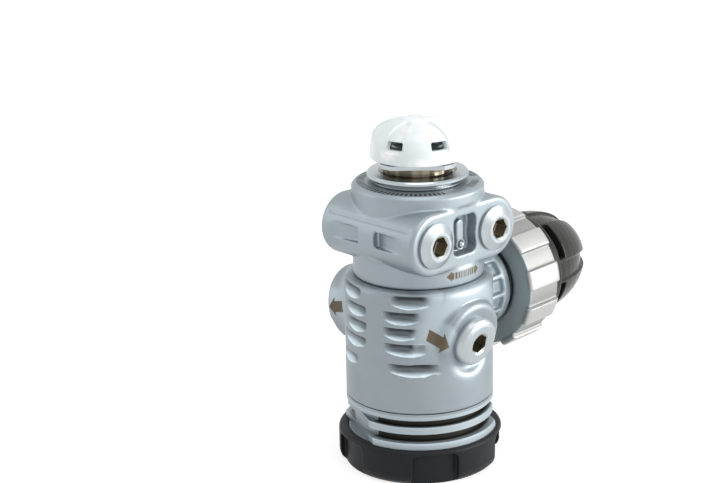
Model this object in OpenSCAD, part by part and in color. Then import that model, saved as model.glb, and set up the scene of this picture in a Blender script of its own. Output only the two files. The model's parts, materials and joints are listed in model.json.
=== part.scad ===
// Diving regulator first stage: a balanced diaphragm pressure reducer with a swivelling
// outlet turret, a threaded cylinder connector with a handwheel, and plugged ports.
// Millimetres. +Z runs up the body's axis and +X along the cylinder connector's axis.
// The origin is the centre of the underside of the rubber base cover.

/* [Body] */
// Radius of the barrel
body_r = 23; // [22.6:0.1:24]
// Height of the barrel, from the end cap's seam to the turret's seam
body_h = 38.7; // [38:0.1:41]
// Rounding of the barrel's top edge
shoulder_r = 2.4; // [1.5:0.1:2.8]
// Direction that the plain front stripe faces, about +Z from +X
front_az = 184; // [180:1:188]
// Width of the plain front stripe, as an angle
stripe_deg = 14; // [10:1:20]
// Height of a grip slot
slot_h = 2.5; // [1.8:0.1:2.8]
// Distance from one grip slot to the next
slot_pitch = 5; // [4.7:0.05:5.2]
// Depth of a grip slot
slot_depth = 2.4; // [2:0.1:2.6]
// Fall of a slot's sloping lower lip
slot_lip = 1.7; // [1:0.1:2]
// Radius of the spigot that the turret turns on
spigot_r = 12.5; // [12:0.1:13.5]
// Height of the spigot
spigot_h = 6; // [5:0.5:7]

/* [Clearances] */
// Gap between a thread or shaft and its hole
fit_gap = 0.05; // [0.03:0.01:0.08]
// Gap between faces that turn or slide past each other
face_gap = 0.15; // [0.1:0.05:0.3]
// Gap between pieces that are seated on each other
seat_gap = 0.05; // [0.02:0.01:0.1]

/* [End cap] */
// Radius of the lowest fin
fin_r = 24.1; // [23.6:0.1:24.6]
// Radius at the bottom of the grooves between the fins
fin_core_r = 20.4; // [20:0.1:21]
// Height of the ring under the seam
fin_top_h = 2.2; // [1.8:0.1:2.6]
// Height of the middle fin
fin_mid_h = 2.1; // [1.6:0.1:2.4]
// Height of the lowest fin
fin_low_h = 1.95; // [1.5:0.05:2.2]
// Height of the upper groove
groove_top_h = 2.2; // [1.8:0.1:2.6]
// Height of the lower groove
groove_low_h = 2.7; // [2.2:0.1:3]
// Distance of the spanner flats from the axis
flat_d = 20.3; // [20:0.1:21]
// Direction that the first spanner flat faces
flat_az = 151; // [140:1:180]
// Radius of the hub inside the rubber cover
hub_r = 22.4; // [21.6:0.1:22.8]
// Opening in the end cap's bottom
water_r = 14; // [12:0.5:15]

/* [Base cover] */
// Outer radius of the cover, over its lobes
cover_r = 25.6; // [25:0.1:26.5]
// Height of the cover
cover_h = 11.3; // [11:0.1:12]
// Number of lobes round the cover
lobe_n = 5; // [4:1:7]
// Depth of the panels between the lobes
panel_depth = 1.9; // [1:0.1:2.4]
// Width of a panel, as an angle
panel_deg = 33; // [25:1:40]
// Thickness of the cover's bottom lip
lip_t = 2.2; // [1.8:0.1:2.6]
// Opening in the cover's bottom
cover_open_r = 15.5; // [14:0.5:17]

/* [Outlet ports] */
// Thread radius of a low pressure port, 3/8 inch
lp_r = 4.7625; // [4.5:0.0125:5]
// Thread radius of a high pressure port, 7/16 inch
side_r = 5.556; // [5.4:0.01:5.7]
// Depth of a low pressure port
lp_depth = 9.5; // [8:0.5:10]
// Depth of a high pressure port
side_depth = 10; // [8:0.5:10.5]
// Head radius of a low pressure plug
lp_head_r = 6.9; // [6.7:0.1:7.3]
// Head radius of a high pressure plug
side_head_r = 7.95; // [7.7:0.05:8.4]
// Head height of a low pressure plug
lp_head_h = 2.5; // [1.8:0.1:3]
// Head height of a high pressure plug
side_head_h = 3.3; // [2.4:0.1:3.6]
// Size of the hex key that turns the plugs, 7/32 inch
hex_af = 5.56; // [5:0.01:6]
// Cord radius of the plugs' seals
seal_r = 0.8; // [0.6:0.05:0.9]

/* [High pressure bosses] */
// Radius of a boss at its rim
side_boss_r = 12.2; // [11.8:0.1:12.6]
// Rounding of a boss's rim
side_rim_r = 2.3; // [1.6:0.1:2.4]
// Spread of a boss where it leaves the barrel
side_flare = 4.8; // [3.6:0.1:5.2]
// Radius of the flat that a high pressure plug seats on
side_flat_r = 10.1; // [9.6:0.1:10.4]
// Downward tilt of the bosses
side_tilt = 12; // [8:1:14]
// Direction of the right boss
side_right_az = 266; // [262:1:270]
// Reach of the right boss from the axis
side_right_reach = 23.2; // [22.8:0.1:26]
// Depth below the turret's seam where the right boss's line crosses the axis
side_right_drop = 12.3; // [11.4:0.1:13.2]
// Direction of the left boss
side_left_az = 92; // [88:1:96]
// Reach of the left boss from the axis
side_left_reach = 28.3; // [27:0.1:30]
// Depth below the turret's seam where the left boss's line crosses the axis
side_left_drop = 9.9; // [9.2:0.1:10.8]

/* [Turret] */
// Turn of the turret at rest
turret_turn = -4.1; // [-90:0.1:90]
// Radius of the lower sleeve
sleeve_r = 20.15; // [19.8:0.05:20.4]
// Radius of the top disc
disc_r = 20.3; // [20:0.1:20.8]
// Height of the turret, from its seam to the top of its disc
turret_h = 29; // [28.4:0.1:30]
// Height of a low pressure port's axis over the seam
port_up = 15; // [14.6:0.1:15.4]
// Distance of a port's axis from the middle of its face
port_off = 13; // [12.6:0.1:13.4]
// Distance of the port faces from the axis
port_face = 19.8; // [19.4:0.1:20.4]
// Radius of the rounded ends of the port block
barrel_r = 9.7; // [9.3:0.1:10]
// Rounding of the port faces' edges
face_round = 1.4; // [0.8:0.1:2]
// Chamfer round the top disc
disc_chamfer = 1.1; // [0.6:0.1:1.4]

/* [Turret bolt] */
// Radius of the bolt's shank
bolt_r = 9; // [8.7:0.1:9.3]
// Radius of the bolt's washer face
washer_r = 14.1; // [13.5:0.1:14.5]
// Radius of the bolt's broad flange
flange_r = 15.55; // [15:0.05:16]
// Radius of the bolt's polished neck
neck_r = 10.4; // [10.2:0.1:11]
// Width across the four flats of the bolt's collar
collar_af = 22.4; // [22:0.1:23.4]
// Radius of the bolt's collar over its corners
collar_r = 13.75; // [13.4:0.05:14.2]
// Thread radius of the port in the bolt's top, 1/2 inch
mp_r = 6.35; // [6:0.05:6.6]

/* [Cylinder connector] */
// Depth of the connector's axis below the turret's seam
din_drop = 11.1; // [10.6:0.1:11.6]
// Radius of the ribbed boss
din_boss_r = 14.1; // [13.6:0.1:14.4]
// Reach of the ribbed boss from the body's axis
din_boss_x = 28.6; // [28.2:0.1:29]
// Radius of the G 5/8 thread
din_thread_r = 11.45; // [11.2:0.05:11.6]
// Length of the thread in front of the wheel
din_thread_len = 15.7; // [12:0.1:16.5]
// Number of ribs round the boss
din_rib_n = 14; // [12:1:16]
// Radius of the connector bolt's shank
din_bolt_r = 8; // [7.6:0.1:8.2]

/* [Handwheel] */
// Radius over the wheel's lobes
wheel_r = 22.3; // [21.8:0.1:22.8]
// Radius between the wheel's lobes
wheel_valley_r = 20.7; // [20.4:0.1:21.4]
// Thickness of the wheel
wheel_t = 14.3; // [13:0.1:15]
// Number of lobes
wheel_n = 11; // [9:1:13]
// Overhang of the lobes behind the wheel's back face
lobe_back = 1.3; // [0.8:0.1:1.5]
// Position of the wheel's back face
wheel_x = 30; // [29.8:0.1:30.4]

/* [Dust caps] */
// Base radius of the turret's dust cap
cap_r = 13.45; // [13:0.05:13.8]
// Height of the turret's dust cap
cap_h = 12.8; // [12:0.1:14]
// Number of ribs on the turret's dust cap
cap_rib_n = 6; // [5:1:7]
// Radius of the ring at the base of the connector's dust cap
din_ring_r = 18.6; // [18:0.1:19.2]
// Radius of the hoods on the connector's dust cap
din_cap_r = 17.2; // [16.8:0.1:17.8]
// Length of the connector's dust cap
din_cap_len = 32; // [28:0.5:34]
// Number of hoods on the connector's dust cap
din_hood_n = 5; // [4:1:6]
// Wall of the dust caps
cap_wall = 1.6; // [1.2:0.1:1.9]

/* [Valve and springs] */
// Lift of the valve from its seat when no gas is connected
valve_lift = 0.7; // [0.4:0.1:1]
// Bore radius of the valve seat
seat_bore_r = 1.9; // [1.6:0.1:2.2]
// Radius of the balanced valve stem
stem_r = 1.9; // [1.6:0.1:2.2]
// Wire radius of the main spring
main_wire_r = 1.45; // [1.2:0.05:1.6]
// Wire radius of the valve spring
valve_wire_r = 0.45; // [0.35:0.05:0.55]
// Thickness of the main diaphragm
diaphragm_t = 1.4; // [1:0.1:1.6]

/* [Hidden] */
$fn = 72;
eps = 0.01;

// Heights of the seams and the main levels
seam_z = cover_h + fin_low_h + groove_low_h + fin_mid_h + groove_top_h + fin_top_h + 0.05;
turret_z = seam_z + body_h;
turret_top = turret_z + turret_h;
port_z = turret_z + port_up;
din_z = turret_z - din_drop;
side_right_z = turret_z - side_right_drop;
side_left_z = turret_z - side_left_drop;

// Pressure chambers inside the body
clamp_r = 17.5;
diaphragm_z = seam_z + 8.5;
ip_r = 13;
ip_h = 4;
valve_r = 6.5;
valve_floor = din_z - 8.9;
valve_top = din_z + 9.6;
seat_z = valve_floor + 2.1;
throat_r = 4.9;
lifter_foot_r = 8;
head_r = 3.9;
gas_r = 3.2;
drill_r = 1;
drill_ring = (valve_r + bolt_r) / 2 + 0.35;

// Spring chamber inside the diaphragm clamp
clamp_bore = 14;
clamp_foot = lip_t + 3.4;
membrane_t = 1.2;
transmitter_r = 12.5;
transmitter_t = 1.6;
push_r = 3.4;
adjuster_z = clamp_foot + 2.6;
adjuster_t = 4;
carrier_t = 3.3;
carrier_boss_r = 8;
carrier_boss_h = 3.6;

// Turret bolt levels
washer_h = 0.6;
step_h = 0.95;
flange_h = 1.4;
neck_h = 2.7;
collar_h = 1.3;
mp_spigot_h = 3.1;
mp_spigot_r = 10.5;
mp_thread_len = 6.5;
mp_head_h = 2.2;
mp_crown_r = 5.4;
collar_turn = 41;
bolt_base = turret_top + face_gap;
flange_z = bolt_base + washer_h + step_h;
collar_z = flange_z + flange_h + neck_h;
collar_top = collar_z + collar_h;
bolt_top = collar_top + mp_spigot_h;
mp_floor = bolt_top - 9.5;
bolt_bore = 6;
bolt_foot = turret_z - 1;
chamber_r = 11.5;
chamber_z = turret_z + spigot_h + 0.4;
chamber_top = turret_top - 6.2;

// Pocket between the ports of a face
pocket_t = 4;
pad_drop = 1.7;
ball_drop = 2.8;
ball_r = 1.1;

// Connector levels
din_thread_x = wheel_x + wheel_t;
din_tip = din_thread_x + din_thread_len;
din_flange_x = din_boss_x + seat_gap;
din_flange_t = wheel_x - din_flange_x - face_gap;
din_head_r = 9;
din_head_x = din_tip - 7;
coupling_r = 12.6;

// ---- shared shapes ----

// Points of an arc about c, from angle a0 to a1
function arc(c, r, a0, a1, n = 10) =
    [for (i = [0:n]) let (a = a0 + (a1 - a0) * i / n) [c[0] + r * cos(a), c[1] + r * sin(a)]];

// A ring or tube from radius r0 to r1, standing on z0
module tube(r0, r1, z0, h) {
    translate([0, 0, z0]) difference() {
        cylinder(r = r1, h = h);
        translate([0, 0, -1]) cylinder(r = r0, h = h + 2);
    }
}

// A seal of round cord
module o_ring(ring_r, cord_r, z) {
    translate([0, 0, z]) rotate_extrude() translate([ring_r, 0]) circle(r = cord_r, $fn = 24);
}

// A closed ring groove for a seal
module seal_groove(r0, r1, z0, h) {
    tube(r0, r1, z0, h);
}

// A square-edged disc profile with rounded rims, revolved about Z and centred on it
module rounded_disc(r, h, round) {
    rotate_extrude() {
        translate([0, -h / 2]) square([r - round, h]);
        translate([0, round - h / 2]) square([r, h - 2 * round]);
        for (s = [-1, 1]) translate([r - round, s * (h / 2 - round)]) circle(r = round, $fn = 48);
    }
}

// A hexagonal prism by its width across flats
module hex_bar(af, h) {
    cylinder(r = af / sqrt(3), h = h, $fn = 6);
}

// Puts children on a line from the body's axis: azimuth, downward tilt and crossing height
module on_axis(az, tilt, z) {
    translate([0, 0, z]) rotate([0, 0, az]) rotate([0, 90 + tilt, 0]) children();
}

// Puts children on the connector's axis, with their own Z along +X
module on_connector(x = 0) {
    translate([x, 0, din_z]) rotate([0, 90, 0]) children();
}

// Puts children on port i of the turret, with their own Z pointing out of the port's face
module on_port(i) {
    side = i < 2 ? 1 : -1;
    off = (i % 2 == 0 ? -1 : 1) * port_off;
    rotate([0, 0, turret_turn]) translate([off, -side * port_face, port_z])
        rotate([90 * side, 0, 0]) children();
}

// Wire wound into a spring whose first and last turns lie close, standing on z = 0
function coil_point(u, turns, r, wire, h) =
    let (t = u * turns, lead = 2.1 * wire, gap = (h - 2 * wire - 2 * lead) / (turns - 2),
         rise = t < 1 ? lead * t : t > turns - 1 ? h - 2 * wire - lead * (turns - t)
             : lead + gap * (t - 1))
    [r * cos(360 * t), r * sin(360 * t), wire + rise];

module spring(r, wire, h, turns, steps, sides) {
    count = ceil(turns * steps);
    points = [for (i = [0:count]) for (k = [0:sides - 1])
        let (u = i / count, p = coil_point(u, turns, r, wire, h), a = 360 * u * turns,
             b = 360 * (k + 0.5) / sides)
        p + [wire * cos(b) * cos(a), wire * cos(b) * sin(a), wire * sin(b)]];
    walls = [for (i = [0:count - 1]) for (k = [0:sides - 1])
        let (n = (k + 1) % sides)
        [i * sides + k, i * sides + n, (i + 1) * sides + n, (i + 1) * sides + k]];
    start = [for (k = [sides - 1:-1:0]) k];
    end = [for (k = [0:sides - 1]) count * sides + k];
    polyhedron(points = points, faces = concat([start, end], walls), convexity = 6);
}

// A hex-socket plug, its thread pointing down from z = 0; the head stands straight to rim_h
// and closes to crown_r at head_h, as a cone in one step or as a dome in several
module plug(thread_r, thread_len, head_r, rim_h, head_h, crown_r, socket, steps) {
    neck = 2.2 * seal_r;
    difference() {
        rotate_extrude() polygon(concat(
            [[0, -thread_len], [thread_r - fit_gap - 0.6, -thread_len],
             [thread_r - fit_gap, -thread_len + 0.6], [thread_r - fit_gap, -neck],
             [thread_r - 0.5, -neck], [thread_r - 0.5, seat_gap], [head_r, seat_gap]],
            [for (i = [0:steps]) let (a = 90 * i / steps)
                [crown_r + (head_r - crown_r) * cos(a), rim_h + (head_h - rim_h) * sin(a)]],
            [[0, head_h]]));
        translate([0, 0, head_h - socket]) hex_bar(hex_af, socket + 1);
        translate([0, 0, head_h - 0.5])
            cylinder(r1 = hex_af / sqrt(3) - 0.3, r2 = hex_af / sqrt(3) + 0.4, h = 0.5 + eps);
    }
}

// ---- body ----

// One grip slot from azimuth a0 to a1: a level roof, a scooped floor that runs out at both
// ends, and a lower lip that slopes outwards
module grip_slot(a0, a1, z) {
    half = (a1 - a0) / 2;
    floor_x = body_r - slot_depth;
    cutter_x = (body_r * body_r - floor_x * floor_x) / (2 * (body_r * cos(half) - floor_x));
    cutter_r = cutter_x - floor_x;
    low = -slot_h / 2 - slot_lip * (slot_depth + 1.5) / slot_depth;
    rotate([0, 0, (a0 + a1) / 2]) translate([cutter_x, 0, z]) rotate_extrude() polygon([
        [0, slot_h / 2], [cutter_r - 0.4, slot_h / 2], [cutter_r, slot_h / 2 - 0.4],
        [cutter_r, 0.5 - slot_h / 2], [cutter_r - 0.5, -slot_h / 2],
        [cutter_r - slot_depth - 2, low], [0, low]]);
}

// Grip slots on one side of the front stripe; side is 1 towards the right boss
module grip_slots(side) {
    top = turret_z - 2.6;
    edge = stripe_deg / 2;
    low_drop = 1.5;
    low_start = side > 0 ? 3 : 11;
    spans = [[edge + 6, 46], [edge, 38], [edge, 36], [edge, 43], [edge + low_start, 53]];
    for (i = [0:4]) {
        a0 = front_az + side * spans[i][0];
        a1 = front_az + side * spans[i][1];
        grip_slot(min(a0, a1), max(a0, a1), top - i * slot_pitch - (i == 4 ? low_drop : 0));
    }
}

// A boss that flares out of the barrel and stays below the turret's seam
module side_boss(az, reach, z) {
    foot = 8;
    flare_x = 15.4;
    rim_x = reach - side_rim_r;
    intersection() {
        on_axis(az, side_tilt, z) rotate_extrude() polygon(concat(
            [[0, foot], [side_boss_r + side_flare, foot]],
            [for (i = [0:8]) let (u = i / 8)
                [side_boss_r + side_flare * pow(1 - u, 2), flare_x + u * (rim_x - flare_x)]],
            arc([side_boss_r - side_rim_r, rim_x], side_rim_r, 10, 90, 6),
            [[0, reach]]));
        cylinder(r = 2 * reach, h = turret_z);
    }
}

module side_port(az, reach, z) {
    on_axis(az, side_tilt, z) {
        translate([0, 0, reach - side_depth]) cylinder(r = side_r, h = side_depth + 1);
        translate([0, 0, reach - 2.2 * seal_r]) cylinder(r = side_r + 1.3, h = 2.2 * seal_r + 1);
        translate([0, 0, reach]) cylinder(r = side_flat_r, h = 6);
        translate([0, 0, 4]) cylinder(r = 1.5, h = reach - side_depth - 4 + 1, $fn = 24);
    }
}

// The connector's boss: a collar on a drum of ribs and pockets
module din_boss() {
    collar_t = 3.4;
    pocket_len = 7.2;
    floor_r = din_boss_r - 2.1;
    rib_w = 1.5;
    rib_step = 360 / din_rib_n;
    on_connector() difference() {
        rotate_extrude() polygon(concat(
            [[0, 6], [din_boss_r + 1.6, 6], [din_boss_r + 1, 16], [din_boss_r - 0.3, 19],
             [din_boss_r - 0.3, din_boss_x - collar_t], [din_boss_r, din_boss_x - collar_t + 0.4]],
            arc([din_boss_r - 0.8, din_boss_x - 0.8], 0.8, 0, 90, 5),
            [[0, din_boss_x]]));
        translate([0, 0, din_boss_x - collar_t - pocket_len]) linear_extrude(pocket_len)
            difference() {
                circle(r = din_boss_r + 3);
                circle(r = floor_r);
                for (k = [0:din_rib_n - 1]) rotate([0, 0, (k + 0.6) * rib_step])
                    translate([0, -rib_w / 2]) square([2 * din_boss_r, rib_w]);
            }
    }
}

module main_body() {
    color([0.66, 0.69, 0.72]) difference() {
        union() {
            difference() {
                translate([0, 0, seam_z]) rotate_extrude() polygon(concat(
                    [[0, 0], [body_r - 0.25, 0], [body_r, 0.25], [body_r, body_h - shoulder_r]],
                    arc([body_r - shoulder_r, body_h - shoulder_r], shoulder_r, 15, 90, 5),
                    [[0, body_h]]));
                for (side = [-1, 1]) grip_slots(side);
            }
            side_boss(side_right_az, side_right_reach, side_right_z);
            side_boss(side_left_az, side_left_reach, side_left_z);
            din_boss();
            translate([0, 0, turret_z - 1]) cylinder(r = spigot_r, h = spigot_h + 1);
        }
        // room for the turret above the seam, outside the spigot
        tube(spigot_r, sleeve_r + 0.8, turret_z, 20);
        // diaphragm seat, intermediate chamber, throat and valve chamber
        translate([0, 0, seam_z - 1]) cylinder(r = clamp_r, h = diaphragm_z - seam_z + 1);
        translate([0, 0, diaphragm_z - eps]) cylinder(r = ip_r, h = ip_h + eps);
        translate([0, 0, diaphragm_z + ip_h - eps]) cylinder(r = throat_r, h = 20);
        translate([0, 0, valve_floor]) cylinder(r = valve_r, h = 40);
        translate([0, 0, bolt_foot - 0.4]) cylinder(r = bolt_r + fit_gap, h = 20);
        seal_groove(spigot_r - 1.3, spigot_r + 1, turret_z + 2.4, 1.7);
        // passages from the intermediate chamber up to the turret bolt's foot
        for (a = [135, 180, 225]) rotate([0, 0, a])
            translate([drill_ring, 0, diaphragm_z + 2])
                cylinder(r = drill_r, h = bolt_foot - diaphragm_z - 2, $fn = 24);
        side_port(side_right_az, side_right_reach, side_right_z);
        side_port(side_left_az, side_left_reach, side_left_z);
        on_connector() {
            cylinder(r = gas_r, h = 30);
            translate([0, 0, 13.5]) cylinder(r = valve_r + fit_gap, h = 20);
            translate([0, 0, din_boss_x - 1.7]) cylinder(r = valve_r + 1.7, h = 2);
        }
    }
}

// ---- end cap and base ----

module end_cap() {
    hub_top = cover_h + 0.05;
    low_top = hub_top + fin_low_h;
    mid_bottom = low_top + groove_low_h;
    mid_top = mid_bottom + fin_mid_h;
    top_bottom = mid_top + groove_top_h;
    edge = 0.25;
    color([0.68, 0.71, 0.74]) difference() {
        rotate_extrude() polygon([
            [water_r, lip_t + 0.1], [hub_r - 0.6, lip_t + 0.1], [hub_r, lip_t + 0.7],
            [hub_r, hub_top],
            [fin_r, hub_top], [fin_r, low_top - 0.5], [fin_r - 0.5, low_top],
            [fin_core_r, low_top], [fin_core_r, mid_bottom], [body_r, mid_bottom],
            [body_r, mid_top - 0.4], [body_r - 0.4, mid_top], [fin_core_r, mid_top],
            [fin_core_r, top_bottom], [body_r - edge, top_bottom], [body_r, top_bottom + edge],
            [body_r, seam_z - face_gap - edge], [body_r - edge, seam_z - face_gap],
            [water_r, seam_z - face_gap]]);
        translate([0, 0, lip_t + 2]) cylinder(r = clamp_r + fit_gap, h = 30);
        for (a = [0, 180]) rotate([0, 0, flat_az + a])
            translate([flat_d, -20, cover_h - 0.4]) cube([10, 40, mid_top + 1 - cover_h]);
    }
}

module base_cover() {
    chamfer = 1.5;
    panel_top = cover_h - 1.3;
    panel_az = 231.2;
    panel_w = 2 * cover_r * sin(panel_deg / 2);
    corner = 2;
    color([0.13, 0.135, 0.14]) difference() {
        rotate_extrude() polygon(concat(
            [[cover_open_r, 0], [cover_r - chamfer - 0.6, 0], [cover_r - 0.6, chamfer],
             [cover_r, chamfer + 1.6], [cover_r, cover_h - 0.8]],
            [[cover_r - 0.5, cover_h - 0.15], [cover_r - 1, cover_h], [hub_r + fit_gap, cover_h],
             [hub_r + fit_gap, lip_t], [cover_open_r, lip_t]]));
        for (k = [0:lobe_n - 1]) rotate([0, 0, panel_az + k * 360 / lobe_n]) difference() {
            rotate([90, 0, 90]) linear_extrude(40) polygon(concat(
                [[-panel_w / 2, -2], [panel_w / 2, -2]],
                arc([panel_w / 2 - corner, panel_top - corner], corner, 0, 90, 6),
                arc([corner - panel_w / 2, panel_top - corner], corner, 90, 180, 6)));
            translate([0, 0, -3]) cylinder(r = cover_r - panel_depth, h = cover_h + 5);
        }
    }
}

module environmental_diaphragm() {
    z = lip_t + 2 + seat_gap;
    top = clamp_foot - seat_gap;
    color([0.2, 0.22, 0.25]) rotate_extrude() polygon([
        [0, top - membrane_t], [9, top - membrane_t], [10, z + 0.6], [11.5, z + 0.6],
        [12.6, z + 0.2], [13.4, z], [clamp_r - 0.1, z], [clamp_r - 0.1, top],
        [13, top], [11.9, top - 0.25], [11.2, z + 1.1], [10.4, z + 1.1], [9.4, top - 0.1],
        [0, top - 0.1]]);
}

module load_transmitter() {
    z = clamp_foot + seat_gap;
    color([0.75, 0.76, 0.78]) rotate_extrude() polygon([
        [0, z], [transmitter_r - 0.4, z], [transmitter_r, z + 0.4],
        [transmitter_r, z + transmitter_t], [push_r + 1, z + transmitter_t],
        [push_r, z + transmitter_t + 0.8], [push_r, carrier_z() - carrier_boss_h - 1],
        [push_r - 1, carrier_z() - carrier_boss_h - seat_gap],
        [0, carrier_z() - carrier_boss_h - seat_gap]]);
}

// Underside of the spring carrier's plate
function carrier_z() = diaphragm_z - diaphragm_t - seat_gap - carrier_t;

module diaphragm_clamp() {
    top = diaphragm_z - diaphragm_t - seat_gap;
    color([0.72, 0.73, 0.75]) difference() {
        rotate_extrude() polygon([
            [clamp_bore, clamp_foot], [clamp_r - 0.5, clamp_foot],
            [clamp_r - 0.05, clamp_foot + 0.5], [clamp_r - 0.05, top], [clamp_bore, top]]);
        for (a = [0:90:270]) rotate([0, 0, a])
            translate([clamp_bore - 1, -1.5, clamp_foot - 1]) cube([2.2, 3, 2.5]);
    }
}

module spring_adjuster() {
    color([0.78, 0.70, 0.45]) difference() {
        translate([0, 0, adjuster_z]) cylinder(r = clamp_bore - fit_gap, h = adjuster_t);
        translate([0, 0, adjuster_z - 1]) hex_bar(2 * push_r + 3.2, adjuster_t + 2);
        tube(main_spring_r() + main_wire_r + 0.3, clamp_bore + 1, adjuster_z + adjuster_t - 1, 3);
    }
}

function main_spring_r() = 10.2;
function main_spring_z() = adjuster_z + adjuster_t + seat_gap;

module main_spring() {
    height = carrier_z() - main_spring_z() - seat_gap;
    color([0.62, 0.63, 0.65]) translate([0, 0, main_spring_z()])
        spring(main_spring_r(), main_wire_r, height, 4.6, 20, 8);
}

module spring_carrier() {
    color([0.78, 0.70, 0.45]) rotate_extrude() polygon([
        [0, carrier_z() - carrier_boss_h], [carrier_boss_r - 1, carrier_z() - carrier_boss_h],
        [carrier_boss_r, carrier_z() - carrier_boss_h + 1], [carrier_boss_r, carrier_z()],
        [clamp_bore - 1.6, carrier_z()], [clamp_bore - 1.2, carrier_z() + 0.4],
        [clamp_bore - 1.2, carrier_z() + carrier_t - 0.4],
        [clamp_bore - 1.6, carrier_z() + carrier_t], [0, carrier_z() + carrier_t]]);
}

module main_diaphragm() {
    low = diaphragm_z - diaphragm_t;
    color([0.16, 0.17, 0.19]) rotate_extrude() polygon([
        [0, low], [clamp_r - 0.1, low], [clamp_r - 0.1, diaphragm_z - seat_gap],
        [0, diaphragm_z - seat_gap]]);
}

// ---- valve ----

module valve_lifter() {
    color([0.70, 0.71, 0.73]) rotate_extrude() polygon([
        [0, diaphragm_z + seat_gap], [lifter_foot_r, diaphragm_z + seat_gap],
        [lifter_foot_r, diaphragm_z + 1],
        [2.2, diaphragm_z + 1.6], [1.1, diaphragm_z + 2.6], [1.1, seat_z + valve_lift - seat_gap],
        [0, seat_z + valve_lift - seat_gap]]);
}

module valve_seat() {
    color([0.80, 0.72, 0.46]) rotate_extrude() polygon([
        [seat_bore_r, diaphragm_z + ip_h + 1], [throat_r - fit_gap, diaphragm_z + ip_h + 1],
        [throat_r - fit_gap, valve_floor + seat_gap], [valve_r - 0.1, valve_floor + seat_gap],
        [valve_r - 0.1, valve_floor + 0.9], [seat_bore_r + 1.5, valve_floor + 1.2],
        [seat_bore_r + 0.7, seat_z], [seat_bore_r, seat_z]]);
}

module inlet_valve() {
    foot = seat_z + valve_lift;
    color([0.74, 0.75, 0.77]) rotate_extrude() polygon([
        [0, foot], [head_r - 0.4, foot], [head_r, foot + 0.4], [head_r, foot + 2.2],
        [stem_r, foot + 2.6],
        [stem_r, valve_top - 2.6], [stem_r - 0.5, valve_top - 2.2], [0, valve_top - 2.2]]);
}

module valve_spring() {
    low = seat_z + valve_lift + 2.7;
    high = din_z + 3.9 - seat_gap;
    color([0.62, 0.63, 0.65]) translate([0, 0, low])
        spring(stem_r + valve_wire_r + 0.8, valve_wire_r, high - low, 5.6, 14, 6);
}

module valve_guide() {
    low = din_z + 3.9;
    color([0.80, 0.72, 0.46]) rotate_extrude() polygon([
        [stem_r + fit_gap, low], [valve_r - 1, low], [valve_r - fit_gap, low + 0.6],
        [valve_r - fit_gap, valve_top], [0, valve_top], [0, valve_top - 1.2],
        [stem_r + fit_gap, valve_top - 1.2]]);
}

// ---- turret ----

// The port block: two barrels across the turret and the web between them
module port_block() {
    translate([0, 0, port_z]) {
        for (s = [-1, 1]) translate([s * port_off, 0, 0]) rotate([90, 0, 0])
            rounded_disc(barrel_r, 2 * port_face, face_round);
        rotate([90, 0, 90]) linear_extrude(2 * port_off, center = true) {
            square([2 * port_face, 2 * (barrel_r - face_round)], center = true);
            square([2 * (port_face - face_round), 2 * barrel_r], center = true);
            for (sy = [-1, 1]) for (sz = [-1, 1])
                translate([sy * (port_face - face_round), sz * (barrel_r - face_round)])
                    circle(r = face_round, $fn = 48);
        }
    }
}

// Waisted pocket between the two ports of a face, with a pad and the ball's boss left standing
module waist_pocket() {
    half_w = 4.9;
    half_h = 6;
    corner = 1.8;
    translate([0, pocket_t - port_face, port_z]) rotate([90, 0, 0]) difference() {
        linear_extrude(pocket_t + 1) translate([0, 0.5]) difference() {
            union() {
                square([2 * (half_w - corner), 2 * half_h], center = true);
                square([2 * half_w, 2 * (half_h - corner)], center = true);
                for (sx = [-1, 1]) for (sy = [-1, 1])
                    translate([sx * (half_w - corner), sy * (half_h - corner)])
                        circle(r = corner, $fn = 32);
            }
            for (s = [-1, 1]) translate([s * port_off, -0.5]) circle(r = lp_head_r + 1.6);
        }
        translate([0, 0, -1]) linear_extrude(pocket_t - pad_drop + 1) {
            translate([-0.4, 1.6]) square([3, 4], center = true);
            for (y = [-0.4, 3.6]) translate([-0.4, y]) circle(r = 1.5, $fn = 32);
            translate([0, -ball_drop]) circle(r = 1.9, $fn = 32);
        }
    }
}

// Cut-outs in one end of the port block: a long groove, and two pockets that are deepest
// beside the web between them and run out towards the port faces
module end_relief() {
    x = port_off + barrel_r;
    web = 3.4;
    run_out = 16.5;
    for (s = [-1, 1]) translate([0, 0, port_z - 2]) linear_extrude(4.9) polygon([
        [-x - 1, s * web], [2.4 - x, s * web], [2.1 - x, s * (web + 1.6)], [-x, s * run_out],
        [-x - 1, s * run_out]]);
    translate([-x + 1.1, 0, port_z + 5.6]) rotate([90, 0, 0])
        cylinder(r = 0.9, h = 34, center = true, $fn = 32);
}

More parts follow.
